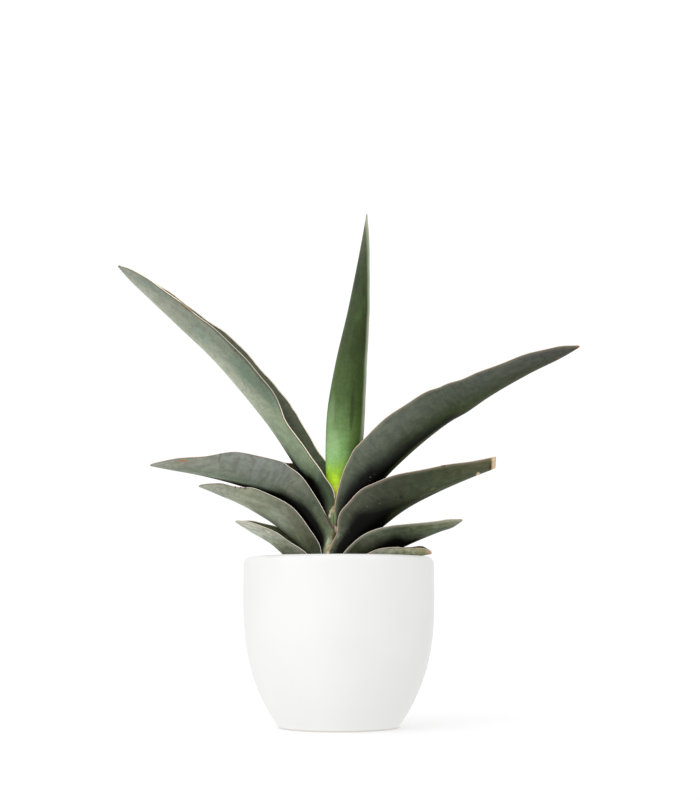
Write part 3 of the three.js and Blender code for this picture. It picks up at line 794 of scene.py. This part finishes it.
def build_rootstock():
    """Turns a stem, and flattens it between the ranks of leaves above the soil."""
    heights = [*STEM_BURIED_HEIGHTS, *range(STEM_ROUND_UP_TO, STEM_TOP + 1)]
    profile = [(0.0, heights[0])] + [(1.0, height) for height in heights] + [(0.0, heights[-1])]
    shape = turned_shape(profile, STEM_SIDES)
    for vert in shape.verts:
        flat = smooth(vert.co.z / MM, STEM_ROUND_UP_TO, STEM_FLAT_FROM)
        vert.co.x *= STEM_RADIUS + (STEM_HALF_WIDTH - STEM_RADIUS) * flat
        vert.co.y *= STEM_RADIUS + (STEM_HALF_THICKNESS - STEM_RADIUS) * flat
        vert.co.x += STEM_SHIFT * flat * MM
    finished_piece("rootstock", shape, bark_finish(), "stem", "stem")


# Leaves


def spline_point(points, share):
    """A point on a centripetal Catmull-Rom curve, with its ends carried straight on."""
    whole = (len(points) - 1) * share
    start = min(int(whole), len(points) - 2)
    part = whole - start
    second, third = points[start], points[start + 1]
    first = points[start - 1] if start else 2 * second - third
    fourth = points[start + 2] if start + 2 < len(points) else 2 * third - second
    pairs = ((first, second), (second, third), (third, fourth))
    before, here, after = (max((b - a).length ** 0.5, SPLINE_LEAST_GAP) for a, b in pairs)
    leave = (second - first) / before - (third - first) / (before + here) + (third - second) / here
    arrive = (third - second) / here - (fourth - second) / (here + after) + (fourth - third) / after
    leave, arrive = leave * here, arrive * here
    square = 3 * (third - second) - 2 * leave - arrive
    cube = 2 * (second - third) + leave + arrive
    return second + leave * part + square * part ** 2 + cube * part ** 3


def leaf_section(leaf, form):
    """One closed section as places, sides and insides, from the near margin round the keel."""
    wrap = math.radians(leaf["wrap"])
    widest = math.sin(min(wrap, math.pi / 2))

    def point(side, half, floor, power):
        turn = wrap * abs(side)
        rise = (1 - math.cos(turn)) / (1 - math.cos(wrap))
        across = half * (math.sin(turn) / widest) ** power
        height = form["depth"] + (form["lift"] if side > 0 else 0)
        ripple = form["far_ripple" if side > 0 else "near_ripple"] * rise ** RIPPLE_POWER
        return Vector((math.copysign(across, side), floor + (height - floor) * rise + ripple))

    def cap(start, before, end, side):
        """Rounds a margin off between the back and the channel."""
        middle, radius = (start + end) / 2, (start - end).length / 2
        outwards = (start - before).normalized() * radius
        turns = [math.pi * step / CAP_STEPS for step in range(1, CAP_STEPS)]
        places = [middle + (start - middle) * math.cos(turn) + outwards * math.sin(turn) for turn in turns]
        return [(place, side, 0.5) for place in places]

    outer_sides = [2 * step / OUTER_STEPS - 1 for step in range(OUTER_STEPS + 1)]
    inner_sides = [1 - 2 * step / INNER_STEPS for step in range(INNER_STEPS + 1)]
    outer = [(point(side, form["half"], 0, 1), side, 0.0) for side in outer_sides]
    channel_half = form["half"] - form["edge"]
    inner = [(point(side, channel_half, form["flesh"], CHANNEL_POWER), side, 1.0) for side in inner_sides]
    far_cap = cap(outer[-1][0], outer[-2][0], inner[0][0], 1.0)
    near_cap = cap(outer[0][0], outer[1][0], inner[-1][0], -1.0)[::-1]
    return outer + far_cap + inner + near_cap + outer[:1]


def leaf_rows(leaf):
    """The sections of a leaf from its base to its tip, as places in millimetres."""
    stations = leaf["stations"]
    keel = [Vector((station[0], 0, station[1])) for station in stations]
    edge = [Vector((station[2], station[4] if len(station) > 4 else 0, station[3])) for station in stations]
    spans = len(stations) - 1
    rows = spans * ROWS_PER_STATION
    deepest = max((high - low).xz.length for low, high in zip(keel, edge))
    places = [spline_point(keel, step / LENGTH_STEPS) for step in range(LENGTH_STEPS + 1)]
    length = sum((b - a).length for a, b in zip(places, places[1:]))
    sections = []
    for row in range(rows + 1):
        t = row / rows
        low, high = spline_point(keel, t), spline_point(edge, t)
        up = Vector((high.x - low.x, 0, high.z - low.z))
        depth = up.length
        up.normalize()
        opened = smooth(t, OPENING_START, OPENING_END)
        taper = 1.0 if t < OPENING_END else min(1, depth / (TAPER_START * deepest)) ** TAPER_POWER
        half = (leaf["grip"] + (leaf["gape"] - leaf["grip"]) * opened) * taper
        seat = leaf["seat"] * max(0, 1 - SEAT_FADE * t * spans)
        body = BASE_FLESH + (leaf["flesh"] - BASE_FLESH) * opened
        ripple = leaf.get("ripple", RIPPLE_HEIGHT) * taper * opened
        waves = math.tau * length * t / RIPPLE_LENGTH
        section = leaf_section(leaf, {
            "depth": depth,
            "half": half,
            "lift": high.y,
            "flesh": min(max(body, seat), FLESH_SHARE * depth + seat),
            "edge": min(EDGE_THICKNESS, EDGE_SHARE * half),
            "near_ripple": ripple * math.sin(waves),
            "far_ripple": ripple * math.sin(FAR_RIPPLE_RATE * waves + FAR_RIPPLE_PHASE),
        })
        drift = leaf["sweep"] * t ** 3
        points = [
            (low + up * at.y + Vector((0, at.x + drift, 0)), side, inside) for at, side, inside in section
        ]
        sections.append({"t": t, "along": length * t, "points": points})
    return sections


def margin_distances(points):
    """How far each point of a section is from its nearer margin, in millimetres."""
    walked = [0.0]
    for (before, _, _), (after, _, _) in zip(points, points[1:]):
        walked.append(walked[-1] + (after - before).length)
    far = walked[OUTER_STEPS] + (walked[OUTER_STEPS + CAP_STEPS] - walked[OUTER_STEPS]) / 2
    total = walked[-1]
    near = -(total - walked[-CAP_STEPS - 1]) / 2
    return [min(abs(reach - near), abs(reach - far), abs(reach - near - total)) for reach in walked]


def leaf_shape(leaf):
    """A leaf bent from a grid, whose columns go round it and whose rows go to its tip."""
    rows = leaf_rows(leaf)
    columns = len(rows[0]["points"]) - 1
    shape = bmesh.new()
    bmesh.ops.create_grid(shape, x_segments=columns, y_segments=len(rows) - 1, size=0.5)
    layers = {name: shape.verts.layers.float.new(name) for name in ("along", "rim", "side", "inside")}
    veins = shape.loops.layers.uv.new("Veins")
    distances = [margin_distances(row["points"]) for row in rows]
    where = {}
    for vert in shape.verts:
        column = round((vert.co.x + 0.5) * columns)
        row = round((vert.co.y + 0.5) * (len(rows) - 1))
        where[vert] = (column, row)
        place, side, inside = rows[row]["points"][column]
        vert.co = place * MM
        vert[layers["along"]] = rows[row]["t"]
        vert[layers["rim"]] = distances[row][column] * MM
        vert[layers["side"]] = abs(side)
        vert[layers["inside"]] = inside
    for face in shape.faces:
        for loop in face.loops:
            column, row = where[loop.vert]
            loop[veins].uv = (column / columns, rows[row]["along"] * MM)
    if not leaf.get("blunt"):
        keel, edge = leaf["stations"][-1][:2], leaf["stations"][-1][2:4]
        tip = Vector(((keel[0] + edge[0]) / 2, leaf["sweep"], (keel[1] + edge[1]) / 2)) * MM
        for vert, (_, row) in where.items():
            if row == len(rows) - 1:
                vert.co = tip
    bmesh.ops.remove_doubles(shape, verts=shape.verts, dist=1e-6)
    bmesh.ops.holes_fill(shape, edges=shape.edges, sides=0)
    bmesh.ops.recalc_face_normals(shape, faces=shape.faces)
    return shape


def nest_shade(finish, leaf, along, across, flank):
    """How much of the nest's deep shade lies on the skin, a little less along the keel."""
    start, fall, most, softness = leaf["nest"]
    falling = finish.math("SUBTRACT", start, finish.math("MULTIPLY", along, fall))
    depth = finish.math("SUBTRACT", flank, finish.math("MINIMUM", falling, most))
    shade = finish.step(depth, -softness, softness, NEST_SHARE, 0.0)
    return finish.math("MULTIPLY", shade, finish.step(across, *NEST_KEEL_SPAN, NEST_KEEL_SHARE, 1.0))


def margin_tone(finish, leaf, settings, tone, rim, grain):
    """The skin with the line beneath its margin, the glow beside it and the margin itself."""
    pale = linear(leaf["margin"])
    width, line = settings.margin_width * leaf.get("breadth", 1.0), settings.line_width
    ragged = finish.nudged(rim, finish.math("SUBTRACT", grain, 0.5), MARGIN_RAGGEDNESS)
    near, far = (width + line * share for share in LINE_SPAN)
    tone = finish.mix(finish.step(ragged, near, far, leaf["line"], 0.0), tone, settings.line)
    glow, reach = leaf.get("glow", NO_GLOW)
    tone = finish.mix(finish.step(rim, width, width + reach, glow, 0.0), tone, pale)
    near, far = (width * share for share in MARGIN_SPAN)
    return finish.mix(finish.step(ragged, near, far, 1.0, 0.0), tone, pale)


def leaf_mark(finish, spots, grain, mark):
    """How much a mark shows, from its strength at its centre to 0 past its ragged edge; marks are
    blemishes, painted shade and painted sheen.
    """
    place, side, length, width, _, strength = mark
    shifted = finish.node(
        "ShaderNodeVectorMath",
        {0: spots, 1: (1 / length, 1 / width, 0.0), 2: (-place / length, -side / width, 0.0)},
        operation="MULTIPLY_ADD",
    ).outputs["Vector"]
    away = finish.node("ShaderNodeVectorMath", {0: shifted}, operation="LENGTH").outputs["Value"]
    ragged = finish.nudged(away, grain, MARK_RAGGEDNESS)
    return finish.step(ragged, 0.5 + MARK_RAGGEDNESS / 2, 1.0 + MARK_RAGGEDNESS / 2, strength, 0.0)


def leaf_finish(leaf, settings):
    finish = Finish("Leaf skin " + leaf["name"])
    veins = finish.node("ShaderNodeUVMap", uv_map="Veins").outputs["UV"]
    patch, streak, grain, mottle = (
        finish.pattern(finish.scaled(veins, scale), 1.0, *kind)
        for scale, *kind in (PATCHES, STREAKS, GRAIN, MOTTLE)
    )
    along, rim, across, inside = (finish.attribute(name) for name in ("along", "rim", "side", "inside"))
    wander = finish.math("SUBTRACT", patch, 0.5)
    way = finish.nudged(along, wander, WAY_WANDER)
    flank = finish.nudged(across, wander, FLANK_WANDER)

    # The crown and keel ramps are the skin's colour with painted sheen and painted shade in them
    keel, crown = finish.tones(way, leaf["keel"]), finish.tones(way, leaf["crown"])
    tone = finish.mix(finish.step(flank, *FLANK_SPAN), keel, crown)
    patch_tone, patch_share, mottling = leaf["patch"]
    tone = finish.mix(finish.step(patch, *PATCH_SPAN, 0.0, patch_share), tone, linear(patch_tone))
    tone = finish.dappled(tone, mottle, 1 - MOTTLE_DARKER * mottling, 1 + MOTTLE_LIGHTER * mottling)
    tone = finish.dappled(tone, streak, *STREAK_TONES)
    tone = finish.dappled(tone, grain, *GRAIN_TONES)
    tone = finish.dappled(tone, across, KEEL_LIGHT, 1.0, *KEEL_SPAN)
    tone = finish.mix(nest_shade(finish, leaf, along, across, flank), tone, linear(NEST_SHADE))

    # The channel's colour with painted shade: lighter by its margins, darker deep inside
    hollow = finish.dappled(linear(leaf["channel"]), rim, HOLLOW_EDGE, HOLLOW_DEPTH, *HOLLOW_SPAN)
    hollow = finish.dappled(hollow, mottle, *HOLLOW_TONES)
    tone = finish.mix(finish.step(inside, *CHANNEL_SPAN), tone, hollow)
    tone = margin_tone(finish, leaf, settings, tone, rim, grain)
    tip_tone, tip_start = leaf["tip"]
    tip = finish.step(finish.nudged(along, wander, TIP_WANDER), tip_start, tip_start + TIP_SPAN)
    tone = finish.mix(tip, tone, linear(tip_tone))
    spots = finish.node("ShaderNodeCombineXYZ", {"X": along, "Y": across}).outputs["Vector"]
    outside = finish.step(inside, *MARKED_SPAN, 1.0, 0.0)
    # Marks: blemishes, and patches of painted shade and painted sheen
    for mark in leaf["marks"]:
        share = finish.math("MULTIPLY", leaf_mark(finish, spots, grain, mark), outside)
        tone = finish.mix(share, tone, linear(mark[4]))

    matt, sheen = settings.roughness + 0.1, settings.roughness - 0.04
    finish.skin(
        base_color=tone,
        roughness=finish.step(streak, 0.2, 0.8, sheen, matt),
        specular_ior_level=0.14,
        normal=finish.bump(grain, 0.12, 0.0002, finish.bump(streak, 0.12, 0.0004)),
    )
    return finish.material


def build_leaf(leaf):
    shape = leaf_shape(leaf)
    skin = leaf_finish(leaf, bpy.context.scene.snake_plant_leaves)
    finished_piece("blade_" + leaf["name"], shape, skin, leaf["slot"], "leaf_" + leaf["name"])


# Stage


def build_floor(settings):
    finish = Finish("Pale floor")
    finish.skin(
        base_color=finish.mix(finish.pattern(finish.place(), 3.0), settings.floor, linear("f0f0f0")),
        roughness=0.8,
        specular_ior_level=0.1,
        emission_color=linear("ffffff"),
        emission_strength=settings.floor_glow,
    )
    shape = bmesh.new()
    bmesh.ops.create_grid(shape, x_segments=8, y_segments=8, size=STAGE_HALF_SIZE)
    floor = placed("floor", shape, finish.material)
    floor.visible_diffuse = False
    floor.visible_glossy = False


def build_world(settings):
    """A white room, dimmer at its sides than behind, with a soft light at the front left."""
    world = bpy.data.worlds.new("White room")
    room = Nodes(world)
    direction = room.node("ShaderNodeTexCoord").outputs["Generated"]
    way = room.node("ShaderNodeSeparateXYZ", {"Vector": direction})
    left = room.step(way.outputs["X"], *LEFT_FADE, ROOM_LEFT, ROOM_FRONT_LEFT)
    right = room.step(way.outputs["X"], *RIGHT_FADE, ROOM_FRONT_LEFT, ROOM_RIGHT)
    below = room.step(way.outputs["Z"], *BELOW_FADE, ROOM_BELOW, 1.0)
    walls = room.math("MULTIPLY", room.math("MINIMUM", left, right), below)
    back = room.step(way.outputs["Y"], *BACK_FADE, 0.0, ROOM_BACK)
    seen = room.math("MULTIPLY", room.node("ShaderNodeLightPath").outputs["Is Camera Ray"], ROOM_BACK)
    glow = room.math("MAXIMUM", room.math("MAXIMUM", back, seen), walls)
    facing = room.node(
        "ShaderNodeVectorMath", {0: direction, 1: Vector(KEY_FROM).normalized()}, operation="DOT_PRODUCT",
    ).outputs["Value"]
    key = room.math("POWER", room.math("MAXIMUM", facing, 0.0), KEY_FOCUS)
    background = room.tree.nodes["Background"].inputs
    room.put(background["Strength"], room.nudged(glow, key, settings.key))
    background["Color"].default_value = (1, 1, 1, 1)
    bpy.context.scene.world = world


def build_camera():
    data = bpy.data.cameras.new("camera")
    data.sensor_fit = "AUTO"
    data.sensor_width = SENSOR
    data.lens = FOCAL_PIXELS / PICTURE_HEIGHT * SENSOR
    data.clip_start = 0.05
    data.clip_end = 200.0
    camera = bpy.data.objects.new("camera", data)
    camera.location = EYE
    camera.rotation_euler = (math.radians(90 + TILT), 0.0, 0.0)
    bpy.context.scene.collection.objects.link(camera)
    bpy.context.scene.camera = camera


# Operators and panel


class SNAKEPLANT_OT_pot(bpy.types.Operator):
    """Build the glazed pot"""

    bl_idname = "snakeplant.pot"
    bl_label = "Build Pot"

    def execute(self, context):
        build_pot()
        return {"FINISHED"}


class SNAKEPLANT_OT_soil(bpy.types.Operator):
    """Build the soil with its crumbs and white grains"""

    bl_idname = "snakeplant.soil"
    bl_label = "Build Soil"

    def execute(self, context):
        build_soil()
        return {"FINISHED"}


class SNAKEPLANT_OT_rootstock(bpy.types.Operator):
    """Build the rootstock between the leaf bases"""

    bl_idname = "snakeplant.rootstock"
    bl_label = "Build Rootstock"

    def execute(self, context):
        build_rootstock()
        return {"FINISHED"}


class SNAKEPLANT_OT_leaves(bpy.types.Operator):
    """Build the nine leaves"""

    bl_idname = "snakeplant.leaves"
    bl_label = "Build Leaves"

    def execute(self, context):
        for leaf in LEAVES:
            build_leaf(leaf)
        return {"FINISHED"}


class SNAKEPLANT_OT_stage(bpy.types.Operator):
    """Build the floor, the white room and the camera"""

    bl_idname = "snakeplant.stage"
    bl_label = "Build Stage"

    def execute(self, context):
        settings = context.scene.snake_plant_stage
        build_floor(settings)
        build_world(settings)
        build_camera()
        context.scene.view_settings.view_transform = "Standard"
        return {"FINISHED"}


class SNAKEPLANT_PT_build(bpy.types.Panel):
    """Sizes, colours and buttons of the snake plant"""

    bl_label = "Snake Plant"
    bl_idname = "SNAKEPLANT_PT_build"
    bl_space_type = "VIEW_3D"
    bl_region_type = "UI"
    bl_category = "Snake Plant"

    def draw(self, context):
        for name, operator in STEPS:
            box = self.layout.box()
            if name:
                settings = getattr(context.scene, name)
                for key in settings.__annotations__:
                    box.prop(settings, key)
            box.operator(operator.bl_idname)


STEPS = (
    ("snake_plant_pot", SNAKEPLANT_OT_pot),
    ("snake_plant_soil", SNAKEPLANT_OT_soil),
    ("", SNAKEPLANT_OT_rootstock),
    ("snake_plant_leaves", SNAKEPLANT_OT_leaves),
    ("snake_plant_stage", SNAKEPLANT_OT_stage),
)
SETTINGS = {
    "snake_plant_pot": PotSettings,
    "snake_plant_soil": SoilSettings,
    "snake_plant_leaves": LeafSettings,
    "snake_plant_stage": StageSettings,
}
CLASSES = (*SETTINGS.values(), *(operator for _, operator in STEPS), SNAKEPLANT_PT_build)


def register():
    for cls in CLASSES:
        bpy.utils.register_class(cls)
    for name, cls in SETTINGS.items():
        setattr(bpy.types.Scene, name, bpy.props.PointerProperty(type=cls))


def unregister():
    for name in SETTINGS:
        delattr(bpy.types.Scene, name)
    for cls in reversed(CLASSES):
        bpy.utils.unregister_class(cls)


def main():
    register()
    bpy.ops.snakeplant.pot()
    bpy.ops.snakeplant.soil()
    bpy.ops.snakeplant.rootstock()
    bpy.ops.snakeplant.leaves()
    bpy.ops.snakeplant.stage()


if __name__ == "__main__":
    main()
